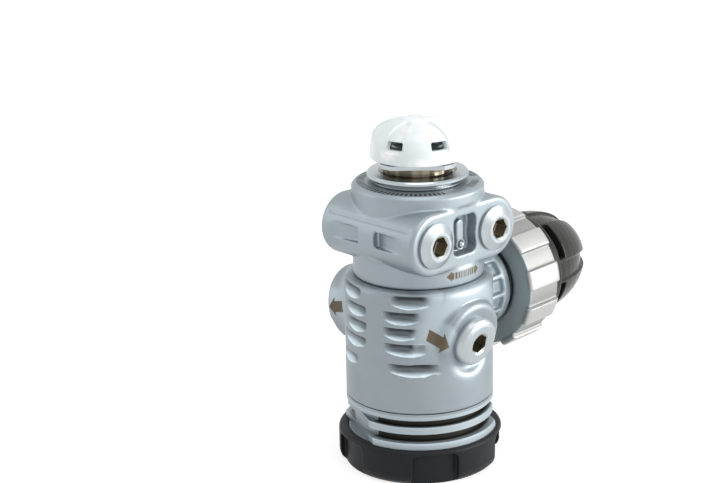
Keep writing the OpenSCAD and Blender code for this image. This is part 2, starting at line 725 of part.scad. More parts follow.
module turret() {
    low = turret_z + face_gap;
    color([0.68, 0.71, 0.74]) rotate([0, 0, turret_turn]) difference() {
        union() {
            rotate_extrude() polygon(concat(
                [[0, low], [sleeve_r - 0.25, low], [sleeve_r, low + 0.25],
                 [sleeve_r, port_z - barrel_r + 2], [sleeve_r + 0.5, port_z - barrel_r + 3],
                 [disc_r, port_z], [disc_r, turret_top - disc_chamfer],
                 [disc_r - disc_chamfer, turret_top], [0, turret_top]]));
            port_block();
        }
        for (a = [0, 180]) rotate([0, 0, a]) {
            waist_pocket();
            end_relief();
            translate([0, 3.4 - port_face, port_z - ball_drop]) rotate([90, 0, 0])
                cylinder(r = ball_r + fit_gap, h = 5, center = true, $fn = 24);
            translate([-30, -port_face - 5, port_z - barrel_r]) cube([60, 5, 2 * barrel_r]);
        }
        translate([0, 0, low - 1]) cylinder(r = spigot_r + fit_gap, h = chamber_z - low + 1 + eps);
        translate([0, 0, chamber_z]) cylinder(r = chamber_r, h = chamber_top - chamber_z);
        translate([0, 0, turret_z]) cylinder(r = bolt_r + fit_gap, h = 60);
        for (i = [0:3]) rotate([0, 0, -turret_turn]) on_port(i) {
            translate([0, 0, -lp_depth]) cylinder(r = lp_r, h = lp_depth + 1);
            translate([0, 0, -2.2 * seal_r]) cylinder(r = lp_r + 1.5, h = 2.2 * seal_r + 1);
        }
        for (i = [0:3]) let (side = i < 2 ? -1 : 1, off = (i % 2 == 0 ? -1 : 1))
            translate([0, 0, port_z]) rotate([0, 0, atan2(side * 12, off * port_off)])
                rotate([0, 90, 0]) cylinder(r = 2.2, h = 17.6, $fn = 32);
    }
}

module passage_balls() {
    color([0.75, 0.76, 0.78]) rotate([0, 0, turret_turn]) for (a = [0, 180]) rotate([0, 0, a])
        translate([0, 1.8 - port_face, port_z - ball_drop]) sphere(r = ball_r, $fn = 32);
}

module turret_bolt() {
    groove_z = turret_top - 4.2;
    color([0.78, 0.79, 0.80]) difference() {
        union() {
            rotate_extrude() polygon([
                [bolt_bore, bolt_foot], [bolt_r - 0.8, bolt_foot], [bolt_r, bolt_foot + 0.8],
                [bolt_r, groove_z], [bolt_r - 1.3, groove_z], [bolt_r - 1.3, groove_z + 1.7],
                [bolt_r, groove_z + 1.7], [bolt_r, bolt_base], [washer_r - 0.2, bolt_base],
                [washer_r, bolt_base + 0.2], [washer_r, bolt_base + washer_h],
                [washer_r - 1.6, bolt_base + washer_h], [washer_r - 1.6, flange_z],
                [flange_r - 0.3, flange_z], [flange_r, flange_z + 0.3],
                [flange_r, flange_z + flange_h - 0.45], [flange_r - 0.45, flange_z + flange_h],
                [neck_r + 2.2, flange_z + flange_h + 0.15], [neck_r, flange_z + flange_h + 0.5],
                [neck_r, collar_z + 0.3], [mp_spigot_r, collar_z + 0.3], [mp_spigot_r, bolt_top],
                [mp_r + 1.4, bolt_top], [mp_r + 1.4, bolt_top - 1.6], [mp_r, bolt_top - 1.6],
                [mp_r, mp_floor], [bolt_bore - 1, mp_floor], [bolt_bore - 1, turret_top - 2],
                [bolt_bore, turret_top - 3]]);
            intersection() {
                tube(neck_r - 0.5, collar_r, collar_z, collar_h);
                rotate([0, 0, collar_turn]) translate([0, 0, collar_z])
                    cube([collar_af, collar_af, 4 * collar_h], center = true);
            }
        }
        for (a = [0:60:300]) rotate([0, 0, a]) translate([bolt_bore - 1, 0, port_z])
            rotate([0, 90, 0]) cylinder(r = 1.6, h = bolt_r, $fn = 24);
    }
}

module turret_seals() {
    cord = 0.62;
    color([0.12, 0.12, 0.12]) {
        o_ring(spigot_r - 0.62, cord, turret_z + 2.4 + 0.85);
        o_ring(bolt_r - 0.62, cord, turret_top - 4.2 + 0.85);
    }
}

module mp_port_plug() {
    color([0.78, 0.79, 0.80]) translate([0, 0, bolt_top])
        plug(mp_r, mp_thread_len, mp_r + 1.9, 0.5, mp_head_h, mp_crown_r, 4, 6);
}

module mp_port_seal() {
    color([0.12, 0.12, 0.12]) o_ring(mp_r + 0.45, 0.72, bolt_top - 0.8);
}

// ---- dust caps ----

// Radius of a dome that stands straight to the height straight and closes at h
function dome_r(r, h, straight, power, z) =
    z <= straight ? r : r * pow(max(0, 1 - pow((z - straight) / (h - straight), power)), 1 / power);

function dome_profile(r, h, straight, power, n = 14) = concat(
    [[0, h]],
    [for (i = [1:n]) let (z = straight + (h - straight) * pow(cos(90 * i / n), 0.8))
        [dome_r(r, h, straight, power, z), z]],
    [[r, 0], [0, 0]]);

// Wedges of the given width as an angle, at n places round the axis from angle 0
module wedges(n, deg, r, h) {
    for (k = [0:n - 1]) rotate([0, 0, k * 360 / n]) linear_extrude(h) polygon([
        [0, 0], [2 * r * cos(deg / 2), -2 * r * sin(deg / 2)],
        [2 * r * cos(deg / 2), 2 * r * sin(deg / 2)]]);
}

// The turret's cap: ribs on a dome, a solid foot, and windows between the ribs
module turret_dust_cap() {
    straight = 3.4;
    power = 2.7;
    fill = 0.955;
    rib_deg = 35;
    window_deg = 22.6;
    window_z = 4.8;
    window_h = 2.8;
    inner_r = cap_r * fill - cap_wall;
    color([0.93, 0.96, 0.97]) translate([0, 0, collar_top + seat_gap]) rotate([0, 0, 220])
        difference() {
            union() {
                rotate_extrude() polygon(dome_profile(cap_r * fill, cap_h - 0.5, straight, power));
                intersection() {
                    rotate_extrude() polygon(dome_profile(cap_r, cap_h, straight, power));
                    union() {
                        cylinder(r = cap_r + 1, h = window_z - 0.9);
                        cylinder(r = 0.3 * cap_r, h = cap_h + 1);
                        wedges(cap_rib_n, rib_deg, cap_r, cap_h + 1);
                    }
                }
            }
            translate([0, 0, -eps]) rotate_extrude() polygon(dome_profile(
                inner_r, cap_h - 0.5 - 1.4 * cap_wall, straight, power));
            rotate([0, 0, 180 / cap_rib_n]) translate([0, 0, window_z]) difference() {
                wedges(cap_rib_n, window_deg, cap_r, window_h);
                translate([0, 0, -1]) cylinder(r = 0.8 * inner_r, h = window_h + 2);
            }
        }
}

// The connector's cap: a ring at the base, hoods with an opening under each, and panels
// between them that stand back
module din_dust_cap() {
    straight = 5;
    power = 2.25;
    ring_h = 5.4;
    hood_deg = 50;
    hood_az = 231;
    gap_h = 4.2;
    panel_back = 0.7;
    panel_len = din_cap_len - 1.8;
    inner_r = din_cap_r - panel_back - cap_wall;
    color([0.12, 0.12, 0.12]) on_connector(din_thread_x + 0.5) rotate([0, 0, hood_az])
        difference() {
            union() {
                rotate_extrude() polygon([
                    [0, 0], [din_ring_r - 0.6, 0], [din_ring_r, 0.6], [din_ring_r, ring_h - 1],
                    [din_ring_r - 1, ring_h], [0, ring_h]]);
                rotate_extrude() polygon(dome_profile(
                    din_cap_r - panel_back, panel_len, straight, power));
                intersection() {
                    rotate_extrude() polygon(dome_profile(din_cap_r, din_cap_len, straight, power));
                    union() {
                        cylinder(r = 0.3 * din_cap_r, h = din_cap_len + 1);
                        wedges(din_hood_n, hood_deg, din_cap_r, din_cap_len + 1);
                    }
                }
            }
            translate([0, 0, -eps]) rotate_extrude() polygon(dome_profile(
                inner_r, panel_len - 1.4 * cap_wall, straight, power));
            translate([0, 0, ring_h]) difference() {
                wedges(din_hood_n, hood_deg - 6, din_cap_r, gap_h);
                translate([0, 0, -1]) cylinder(r = 0.85 * inner_r, h = gap_h + 2);
            }
        }
}

// ---- plugs and their seals ----

module lp_plug(i) {
    color([0.80, 0.81, 0.82]) on_port(i) plug(lp_r, 7.5, lp_head_r, 0.9, lp_head_h, 4.4, 5.5, 1);
}

module lp_seal(i) {
    color([0.12, 0.12, 0.12]) on_port(i) o_ring(lp_r + 0.42, seal_r - 0.05, -1.1 * seal_r);
}

module side_plug(az, reach, z) {
    color([0.80, 0.81, 0.82]) on_axis(az, side_tilt, z) translate([0, 0, reach])
        plug(side_r, 8.5, side_head_r, 1, side_head_h, 5.2, 6.5, 6);
}

module side_seal(az, reach, z) {
    color([0.12, 0.12, 0.12]) on_axis(az, side_tilt, z) translate([0, 0, reach])
        o_ring(side_r + 0.4, seal_r - 0.1, -1.1 * seal_r);
}

// ---- cylinder connector ----

module din_bolt() {
    color([0.77, 0.78, 0.79]) on_connector() difference() {
        rotate_extrude() polygon([
            [0, 14], [valve_r - 0.6, 14], [valve_r, 14.6], [valve_r, din_flange_x],
            [coupling_r - 1.4, din_flange_x], [coupling_r - 1.4, din_flange_x + din_flange_t],
            [din_bolt_r, din_flange_x + din_flange_t], [din_bolt_r, din_head_x],
            [din_head_r, din_head_x], [din_head_r, din_tip + 0.7],
            [din_head_r - 0.5, din_tip + 1.2], [0, din_tip + 1.2]]);
        cylinder(r = gas_r - 0.2, h = 100);
        translate([0, 0, din_tip - 11]) cylinder(r = 5, h = 20);
        tube(6.1, 8, din_tip, 5);
    }
}

module din_bolt_seal() {
    color([0.12, 0.12, 0.12]) on_connector() o_ring(valve_r + 0.85, 0.75, din_boss_x - 0.85);
}

module din_face_seal() {
    color([0.12, 0.12, 0.12]) on_connector() o_ring(7.05, 0.85, din_tip + 0.9);
}

module din_filter() {
    color([0.72, 0.55, 0.30]) on_connector(din_tip - 10.9) difference() {
        cylinder(r1 = 3.4, r2 = 4.7, h = 8.4);
        translate([0, 0, 1.6]) cylinder(r1 = 1.8, r2 = 3.2, h = 8);
    }
}

module filter_clip() {
    color([0.6, 0.6, 0.62]) on_connector(din_tip - 2.4) difference() {
        tube(3.8, 4.95, 0, 0.9);
        translate([2, -1, -1]) cube([5, 2, 3]);
    }
}

module din_coupling() {
    color([0.77, 0.78, 0.79]) on_connector() difference() {
        rotate_extrude() polygon([
            [din_bolt_r + fit_gap, wheel_x + 0.05], [coupling_r, wheel_x + 0.05],
            [coupling_r, din_thread_x], [din_thread_r - 0.9, din_thread_x],
            [din_thread_r - 0.9, din_thread_x + 1.6], [din_thread_r, din_thread_x + 2.4],
            [din_thread_r, din_tip - 0.9], [din_thread_r - 0.9, din_tip],
            [din_bolt_r + fit_gap, din_tip]]);
        translate([0, 0, din_head_x - face_gap]) cylinder(r = din_head_r + fit_gap, h = 30);
    }
}

module handwheel() {
    step = 360 / wheel_n;
    first = 226;
    lobe_foot = 20.1;
    lobe_x = wheel_x - lobe_back;
    color([0.76, 0.77, 0.78]) on_connector() difference() {
        union() {
            translate([0, 0, wheel_x]) cylinder(r = wheel_valley_r, h = wheel_t);
            intersection() {
                rotate_extrude() polygon([
                    [0, wheel_x + 0.5], [lobe_foot, wheel_x + 0.5], [lobe_foot + 0.3, lobe_x + 0.3],
                    [lobe_foot + 0.6, lobe_x], [wheel_r - 0.9, lobe_x],
                    [wheel_r - 0.3, lobe_x + 0.3], [wheel_r, lobe_x + 0.9],
                    [wheel_r, din_thread_x - 1.8], [wheel_r - 0.4, din_thread_x - 0.6],
                    [wheel_r - 1.3, din_thread_x], [0, din_thread_x]]);
                rotate([0, 0, first]) translate([0, 0, lobe_x - 1])
                    wedges(wheel_n, step / 2, wheel_r, wheel_t + lobe_back + 2);
            }
        }
        translate([0, 0, wheel_x - 1]) cylinder(r = coupling_r + fit_gap, h = 40);
        translate([0, 0, din_thread_x - 2.2]) cylinder(r1 = 15.5, r2 = 19.4, h = 2.2 + eps);
        translate([0, 0, wheel_x - eps]) cylinder(r1 = 14, r2 = 13, h = 1);
    }
}

main_body();
end_cap();
base_cover();
environmental_diaphragm();
load_transmitter();
diaphragm_clamp();
spring_adjuster();
main_spring();
spring_carrier();
main_diaphragm();
valve_lifter();
valve_seat();
inlet_valve();
valve_spring();
valve_guide();
turret();
passage_balls();
turret_bolt();
turret_seals();
mp_port_plug();
mp_port_seal();
turret_dust_cap();
lp_plug(0);  // lp_plug_1
lp_plug(1);  // lp_plug_2
lp_plug(2);  // lp_plug_3
lp_plug(3);  // lp_plug_4
lp_seal(0);  // lp_seal_1
lp_seal(1);  // lp_seal_2
lp_seal(2);  // lp_seal_3
lp_seal(3);  // lp_seal_4
side_plug(side_right_az, side_right_reach, side_right_z);  // side_plug_right
side_plug(side_left_az, side_left_reach, side_left_z);  // side_plug_left
side_seal(side_right_az, side_right_reach, side_right_z);  // side_seal_right
side_seal(side_left_az, side_left_reach, side_left_z);  // side_seal_left
din_bolt();
din_bolt_seal();
din_face_seal();
din_filter();
filter_clip();
din_coupling();
handwheel();
din_dust_cap();
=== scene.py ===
import json
import math

import bpy
from bpy.props import FloatProperty, FloatVectorProperty, PointerProperty
from mathutils import Matrix, Vector

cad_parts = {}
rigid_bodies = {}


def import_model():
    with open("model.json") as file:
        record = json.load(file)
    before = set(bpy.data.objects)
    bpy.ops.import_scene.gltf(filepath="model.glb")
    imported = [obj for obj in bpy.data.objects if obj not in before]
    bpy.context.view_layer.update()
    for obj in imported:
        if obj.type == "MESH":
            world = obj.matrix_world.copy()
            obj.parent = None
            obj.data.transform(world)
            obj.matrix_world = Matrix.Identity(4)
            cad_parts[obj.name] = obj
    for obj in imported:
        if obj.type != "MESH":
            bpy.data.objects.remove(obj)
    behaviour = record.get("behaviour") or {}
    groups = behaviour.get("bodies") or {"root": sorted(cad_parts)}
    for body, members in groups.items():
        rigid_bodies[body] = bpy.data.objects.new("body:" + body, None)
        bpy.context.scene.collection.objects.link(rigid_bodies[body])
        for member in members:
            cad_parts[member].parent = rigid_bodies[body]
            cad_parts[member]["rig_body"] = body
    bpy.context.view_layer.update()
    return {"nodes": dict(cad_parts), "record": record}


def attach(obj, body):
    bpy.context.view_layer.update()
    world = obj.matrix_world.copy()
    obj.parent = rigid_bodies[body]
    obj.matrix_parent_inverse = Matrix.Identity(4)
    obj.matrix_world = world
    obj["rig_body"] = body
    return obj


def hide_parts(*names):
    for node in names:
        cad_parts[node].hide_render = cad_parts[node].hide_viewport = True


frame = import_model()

bl_info = {
    "name": "Diving Regulator First Stage",
    "version": (1, 0, 0),
    "blender": (4, 5, 0),
    "location": "3D View > Sidebar > Regulator",
    "description": "Finishes and fine pieces of a diving regulator first stage",
    "category": "Object",
}

MM = 0.001
PER_METRE = 1000

# All sizes below are in millimetres and all angles in degrees, unless a comment says otherwise.

# Double-ended arrow on the turret's sleeve: where it is, half lengths, half heights and stripes
SLEEVE_R = 20.15
SLEEVE_SKIN = (19.75, 20.25)
ARROW_AZ = -95.5
ARROW_Z = 64.8
ARROW_TIP = 6.86
ARROW_BASE = 4.95
ARROW_HALF_H = 1.55
BAR_HALF_H = 1.023
ARROW_BARS = ((4.2, 4.97), (3.0, 3.8), (2.1, 2.6), (1.4, 1.7), (0.8, 1.0), (0.2, 0.45))

# Ring of ticks on the turret's disc, and the azimuths that it leaves bare
TICK_STEP = 4.6
TICK_WIDTH = 2.3
TICK_RING = (16.3, 18.7)
TICK_MIN_Z = 89.7
TICK_GAPS = ((-112, -78), (-52, -38))

# Bare arrows beside the high pressure ports: start, along, across and length
PORT_ARROWS = (
    ((-15.67, -16.81, 48.16), (0.583, -0.765, -0.272), (0.532, -0.209, 0.821), 7.2),
    ((-12.98, 18.71, 48.76), (-0.034, 0.978, -0.208), (0.207, 0.210, 0.955), 7.6),
)
PORT_ARROW_HALF = 1.75
PORT_ARROW_HEAD_HALF = 3.05
# Share of the length that is shaft, its overlap with the head, and the depth of the mark's reach
PORT_ARROW_NECK = 0.64
PORT_ARROW_OVERLAP = 0.01
PORT_ARROW_DEPTH = 7.0
# The marks stay on this side of the barrel and out of its slots
PORT_ARROW_MAX_X = -8.0
PORT_ARROW_MIN_R = 20.5

# Grip slots: heights of their middles, the heights over a middle between which painted shade
# darkens the back wall, the lower lip with its painted highlight, and the radii over which both
# fade out
SLOTS_Z = (58.6, 53.6, 48.6, 43.6, 37.1)
SLOT_WALL = (-1.8, 0.4)
SLOT_ROOF = 1.7
LIP_FOOT = -3.4
LIP_TOP = (-2.0, -1.0)
WALL_SHADE_FADE = (21.1, 22.9)
LIP_HIGHLIGHT_FADE = (22.8, 22.94)
# Radius round a side port's line that the slots stay out of
SLOT_CLEAR = 12.0

# Feet of the side bosses, which get a painted highlight: radii and heights over the port between
# which it rises, radii over which it fades out, and how far inwards of the port it starts
FOOT_RISE = (12.2, 13.6)
FOOT_FADE = (15.5, 19.0)
FOOT_Z = (-8.0, 6.0)
FOOT_DEPTH = -2.0

# Pockets of the connector's boss, which get a painted highlight
POCKET_X = 16.5
POCKET_R = 15.2

# End cap: its grooves, darkened with painted shade, its fins, lit with a painted highlight, and
# the direction and half width of its spanner flats
GROOVES = ((13.27, 16.03), (18.07, 20.33))
GROOVE_FADE = (21.2, 22.5)
FINS_TOP = 21.73
FIN_FADE = (21.6, 22.4)
FLAT_AZ = 151
FLAT_HALF = 10.4

# Polished neck of the turret bolt
NECK = (93.32, 96.02)
NECK_R = 12.0
NECK_POLISH = 0.14

# Handwheel: its back face and the rim of that face, both darkened with painted shade, and the
# valleys between its lobes, which painted shade darkens too
WHEEL_BACK_X = 30.3
WHEEL_BACK_FADE = (20.2, 20.5)
WHEEL_EDGE_X = (29.5, 30.7)
WHEEL_EDGE_R = 20.95
WHEEL_VALLEY_FADE = (21.0, 21.9)

# Connector: height of its axis, the sleeve that carries its thread, and the thread's ridge.
# Both profiles are points of (radius, x).
AXIS_Z = 50.1
SLEEVE = ((8.05, 30.05), (12.6, 30.05), (12.6, 44.3), (10.6, 44.3), (10.6, 59.4), (10.0, 60.0),
          (9.05, 60.0), (9.05, 52.85), (8.05, 52.85))
SLEEVE_STEPS = 96
THREAD = ((10.4, -0.72), (11.45, -0.16), (11.45, 0.16), (10.4, 0.72))
THREAD_PITCH = 1.814
THREAD_X = (46.2, 58.9)
THREAD_STEPS = 72

# Plugs: node, the port that it closes, thread pitch, and top of the hex socket's painted shade
PLUGS = tuple((f"lp_plug_{n}", f"lp_port_{n}", 1.06, 2.1) for n in range(1, 5)) + (
    ("side_plug_right", "side_port_right", 1.27, 2.9),
    ("side_plug_left", "side_port_left", 1.27, 2.9),
    ("mp_port_plug", "mp_port", 1.27, 1.8),
)
SIDE_PORTS = ("side_port_right", "side_port_left")
SOCKET_R = 3.12
SOCKET_FLOOR = -5.4
PLUG_THREAD_TOP = -1.9
PLUG_THREAD_DEPTH = 0.5

# Blasted metal: how far it shines as bare metal does and how much of that a burnt mark loses,
# the roughness that clouds, grain, shades and burnt marks add, and what is taken off for them
METAL_SHARE = 0.8
BURNT_LOSS = 0.7
CLOUD_ROUGHNESS = 0.06
GRAIN_ROUGHNESS = 0.05
SHADED_ROUGHNESS = 0.1
BURNT_ROUGHNESS = 0.2
LESS_ROUGHNESS = 0.05

# Painted light and shade: how strongly it shows, and its brightness against the plating
FOOT_HIGHLIGHT = (0.8, 1.55)
POCKET_HIGHLIGHT = (0.8, 1.5)
LIP_HIGHLIGHT = (0.85, 2.8)
FIN_HIGHLIGHT = (0.8, 1.5)
VALLEY_PAINTED_SHADE = (0.8, 0.62)
# Brightness of the turret's plating against the body's
TURRET_BRIGHTNESS = 1.12

# Turning marks on brass, in radians a millimetre
BRASS_RINGS = 26

# Shells with rounded edges: node, name, voxel, smoothing steps
SHELLS = (
    ("main_body", "barrel_shell", 0.34, 3),
    ("turret", "turret_shell", 0.34, 4),
    ("handwheel", "wheel_shell", 0.30, 5),
    ("turret_dust_cap", "white_cap_shell", 0.22, 5),
    ("din_dust_cap", "black_cap_shell", 0.28, 5),
    ("base_cover", "cover_shell", 0.28, 4),
)
# Triangles that a shell may have, strength of a smoothing step, and how near vertices merge
MOST_TRIANGLES = 180000
SMOOTHING = 0.5
MERGE = 0.01

# The white cap is made wider, lower above its foot, and lifted
CAP_WIDE = 1.075
CAP_TALL = 0.91
CAP_FOOT_Z = 97.4
CAP_LIFT = 0.4

# Where a side boss flows into the barrel: radii round the port's line, depths along it, the
# width of the soft edge, and smoothing steps. Slot ends and the barrel's inside stay as they are.
FLOW_R = (12.7, 19.5)
FLOW_DEPTH = (-9.0, -2.5)
FLOW_EASE = 1.2
FLOW_STEPS = 30
SLOT_END_R = 15.0
BARREL_SKIN_R = 22.7

# The same for the lower edge of the plug's seat, from SEAT_DROP below the port downwards
SEAT_R = (8.4, 15.5)
SEAT_DEPTH = (-2.0, 3.5)
SEAT_DROP = 2.0
SEAT_EASE = 0.8
SEAT_STEPS = 160

# Camera and lamps, in metres. Lamps: name, place, size and colour
CAMERA_PLACE = (-0.4271, -0.3655, 0.2443)
CAMERA_RIGHT = (0.66874, -0.74328, -0.01817)
CAMERA_UP = (0.23098, 0.18446, 0.95531)
CLIP_START = 0.01
LAMPS = (
    ("key", (0.40, -0.72, 0.26), (0.6, 0.42), (1, 0.985, 0.965)),
    ("side", (-0.45, 0.65, 0.40), (0.5, 0.6), (1, 1, 1)),
    ("top", (-0.15, -0.2, 0.95), (0.6, 0.6), (1, 1, 1)),
)
LAMP_TARGET = (0.01, 0, 0.055)

# Floor: its size in metres, the grey and glow that the camera sees, and the grey that lights
# the part from below
FLOOR_SIZE = 30
FLOOR_GREY = (0.42, 0.42, 0.42, 1)
FLOOR_GLOW = 0.72
FLOOR_ROUGHNESS = 0.9
FLOOR_BOUNCE = (0.8, 0.8, 0.8, 1)
WHITE = (1, 1, 1, 1)


def colour(name, description, value):
    return FloatVectorProperty(name=name, description=description, subtype="COLOR", size=3,
                               min=0, max=1, default=value)


def factor(name, description, value, low, high):
    return FloatProperty(name=name, description=description, subtype="FACTOR",
                         min=low, max=high, default=value)


def power(name, description, value):
    return FloatProperty(name=name, description=description, unit="POWER", min=0, default=value)


class FinishSettings(bpy.types.PropertyGroup):
    """Colours and roughness of the finishes."""
    satin: colour("Satin plating", "Colour of the blasted and plated metal", (0.27, 0.312, 0.335))
    satin_roughness: factor("Satin roughness", "Roughness of the blasted metal", 0.46, 0.1, 0.8)
    # Painted shade: the dark colour painted on the grip slots' back walls
    slot: colour("Slot", "Colour down in the grip slots", (0.045, 0.052, 0.058))
    # Painted shade: the dark colour painted into the end cap's grooves between the fins
    groove_shade: colour("Groove", "Colour of the end cap's deep grooves", (0.035, 0.035, 0.028))
    mark: colour("Laser mark", "Colour of the burnt-in marks", (0.115, 0.088, 0.056))
    ink: colour("Dark mark", "Colour of the ring of ticks", (0.03, 0.026, 0.02))
    wheel: colour("Wheel plating", "Colour of the handwheel's lobes", (0.46, 0.465, 0.46))
    # Painted shade: the darker colour painted on the handwheel's back face and its rim, which lie
    # in shadow
    wheel_back_shade: colour("Wheel back", "Colour of the handwheel's dull back", (0.36, 0.40, 0.41))
    bright: colour("Bright plating", "Colour of the smooth plated metal", (0.43, 0.47, 0.49))
    # The neck's lighter streaks, made from this colour, are painted reflections
    neck: colour("Neck", "Colour of the turret bolt's polished neck", (0.10, 0.088, 0.065))
    # Painted shade: the darker colour painted down inside the hex sockets
    socket: colour("Socket", "Colour down inside the hex sockets", (0.31, 0.275, 0.21))
    brass: colour("Brass", "Colour of the turned brass pieces", (0.55, 0.40, 0.16))
    bronze: colour("Sintered bronze", "Colour of the filter", (0.36, 0.22, 0.10))
    rubber: colour("Rubber", "Colour of the base cover", (0.009, 0.0098, 0.012))
    diaphragm: colour("Diaphragm", "Colour of both diaphragms", (0.02, 0.024, 0.03))
    seal: colour("Seal", "Colour of the sealing rings", (0.008, 0.008, 0.008))
    black_plastic: colour("Black plastic", "Colour of the connector's cap", (0.017, 0.0172, 0.016))
    white_plastic: colour("White plastic", "Colour of the turret's cap", (0.74, 0.80, 0.82))
    grey_plastic: colour("Grey plastic", "Colour of the load transmitter", (0.09, 0.10, 0.11))


class StageSettings(bpy.types.PropertyGroup):
    """Light and camera."""
    key: power("Key light", "Power of the large lamp", 7)
    side: power("Side light", "Power of the left lamp", 1)
    top: power("Top light", "Power of the lamp overhead", 2)
    ambient: factor("Ambient", "Strength of the even light", 0.68, 0, 1)
    lens: FloatProperty(name="Lens", description="Focal length", unit="CAMERA", min=0.01,
                        default=95.12 * MM)


class Wire:
    """A number carried by a shader socket. Arithmetic on it adds Math nodes."""

    def __init__(self, tree, socket):
        self.tree = tree
        self.socket = socket

    def calc(self, operation, *others):
        node = self.tree.nodes.new("ShaderNodeMath")
        node.operation = operation
        for slot, value in enumerate((self, *others)):
            if isinstance(value, Wire):
                self.tree.links.new(value.socket, node.inputs[slot])
            else:
                node.inputs[slot].default_value = value
        return Wire(self.tree, node.outputs[0])

    def __add__(self, other):
        return self.calc("ADD", other)

    def __sub__(self, other):
        return self.calc("SUBTRACT", other)

    def __mul__(self, other):
        return self.calc("MULTIPLY", other)

    def __truediv__(self, other):
        return self.calc("DIVIDE", other)

    def __rsub__(self, other):
        return self.calc("MULTIPLY_ADD", -1, other)

    def __gt__(self, other):
        return self.calc("GREATER_THAN", other)

    def __lt__(self, other):
        return self.calc("LESS_THAN", other)

    def __and__(self, other):
        return self.calc("MULTIPLY", other)

    def __or__(self, other):
        return self.calc("MAXIMUM", other)

    def __abs__(self):
        return self.calc("ABSOLUTE")

    def wrapped(self, low, high):
        return self.calc("WRAP", high, low)

    def ramp(self, start, end):
        """0 before start, 1 after end, smooth between."""
        node = self.tree.nodes.new("ShaderNodeMapRange")
        node.interpolation_type = "SMOOTHSTEP"
        self.tree.links.new(self.socket, node.inputs["Value"])
        node.inputs["From Min"].default_value = start
        node.inputs["From Max"].default_value = end
        return Wire(self.tree, node.outputs["Result"])


def between(value, low, high):
    return (value > low) & (value < high)


def any_of(shares):
    """The largest of some shares."""
    most, *others = shares
    for share in others:
        most = most | share
    return most


class Finish:
    """A material in the making: a Principled shader, and x, y and z in millimetres."""

    def __init__(self, name, base, roughness, metallic=0.0):
        self.material = bpy.data.materials.new(name)
        self.material.use_nodes = True
        self.tree = self.material.node_tree
        self.shader = self.tree.nodes["Principled BSDF"]
        self.place = self.tree.nodes.new("ShaderNodeTexCoord").outputs["Object"]
        split = self.tree.nodes.new("ShaderNodeSeparateXYZ")
        self.tree.links.new(self.place, split.inputs[0])
        self.x, self.y, self.z = (Wire(self.tree, out) * PER_METRE for out in split.outputs)
        self.base = tuple(base)
        self.roughness = roughness
        self.set("Base Color", (*base, 1.0))
        self.set("Roughness", roughness)
        self.set("Metallic", metallic)

    def set(self, name, value):
        """Links a wire or a node's output to an input of the shader, or sets a constant there."""
        if isinstance(value, Wire):
            self.tree.links.new(value.socket, self.shader.inputs[name])
        elif isinstance(value, bpy.types.NodeSocket):
            self.tree.links.new(value, self.shader.inputs[name])
        else:
            self.shader.inputs[name].default_value = value

    def noise(self, size, detail=2.0, stretch=(1, 1, 1)):
        """Noise from 0 to 1 whose grains are size millimetres wide."""
        mapping = self.tree.nodes.new("ShaderNodeMapping")
        mapping.inputs["Scale"].default_value = stretch
        self.tree.links.new(self.place, mapping.inputs["Vector"])
        node = self.tree.nodes.new("ShaderNodeTexNoise")
        node.inputs["Scale"].default_value = PER_METRE / size
        node.inputs["Detail"].default_value = detail
        self.tree.links.new(mapping.outputs[0], node.inputs["Vector"])
        return Wire(self.tree, node.outputs["Fac"])

    def tint(self, share, other, over=None):
        """The base colour, or over, turning into other as share goes from 0 to 1."""
        node = self.tree.nodes.new("ShaderNodeMix")
        node.data_type = "RGBA"
        self.tree.links.new(share.socket, node.inputs["Factor"])
        colours = [socket for socket in node.inputs if socket.type == "RGBA"]
        for socket, value in zip(colours, (self.base if over is None else over, other)):
            if isinstance(value, bpy.types.NodeSocket):
                self.tree.links.new(value, socket)
            else:
                socket.default_value = (*value, 1.0)
        return next(socket for socket in node.outputs if socket.type == "RGBA")

    def clouded(self, noise, start, end, brightness):
        """The base colour, brighter or darker where the noise goes from start to end."""
        return self.tint(noise.ramp(start, end), lighter(self.base, brightness))

    def vary_roughness(self, noise, spread):
        """The roughness, which the noise spreads to both sides."""
        self.set("Roughness", noise * spread + (self.roughness - spread / 2))

    def bump(self, height, distance):
        """Raised by height, in shares of distance millimetres."""
        node = self.tree.nodes.new("ShaderNodeBump")
        node.inputs["Strength"].default_value = 1.0
        node.inputs["Distance"].default_value = distance * MM
        self.tree.links.new(height.socket, node.inputs["Height"])
        self.set("Normal", node.outputs["Normal"])

    def radius(self, u, v):
        return (u * u + v * v).calc("SQRT")

    def azimuth(self):
        return self.y.calc("ARCTAN2", self.x)

    def along(self, start, axis):
        """How far a point lies from start along axis."""
        x, y, z = (here - there for here, there in zip((self.x, self.y, self.z), start))
        return x * axis[0] + y * axis[1] + z * axis[2]

    def about(self, start, axis):
        """A point's two offsets from the line through start, and its way along the line."""
        side = axis.orthogonal().normalized()
        return (self.along(start, side), self.along(start, axis.cross(side)),
                self.along(start, axis))


def port_line(name):
    """Where a port is, in millimetres, and the way out of it."""
    mount = next(m for m in frame["record"]["mounts"] if m["name"] == name)
    return Vector(mount["pos_m"]) * PER_METRE, Vector(mount["axis"]).normalized()


def lighter(shade, brightness):
    """A shade times a brightness, which makes it darker when it is below 1."""
    return tuple(min(1.0, part * brightness) for part in shade)


def painted_light_pair(mask, shade, look):
    """A share and a colour of painted light and shade for satin_finish; look is one of the pairs
    at the top.
    """
    share, brightness = look
    return mask * share, lighter(shade, brightness)


# ---- finishes ----

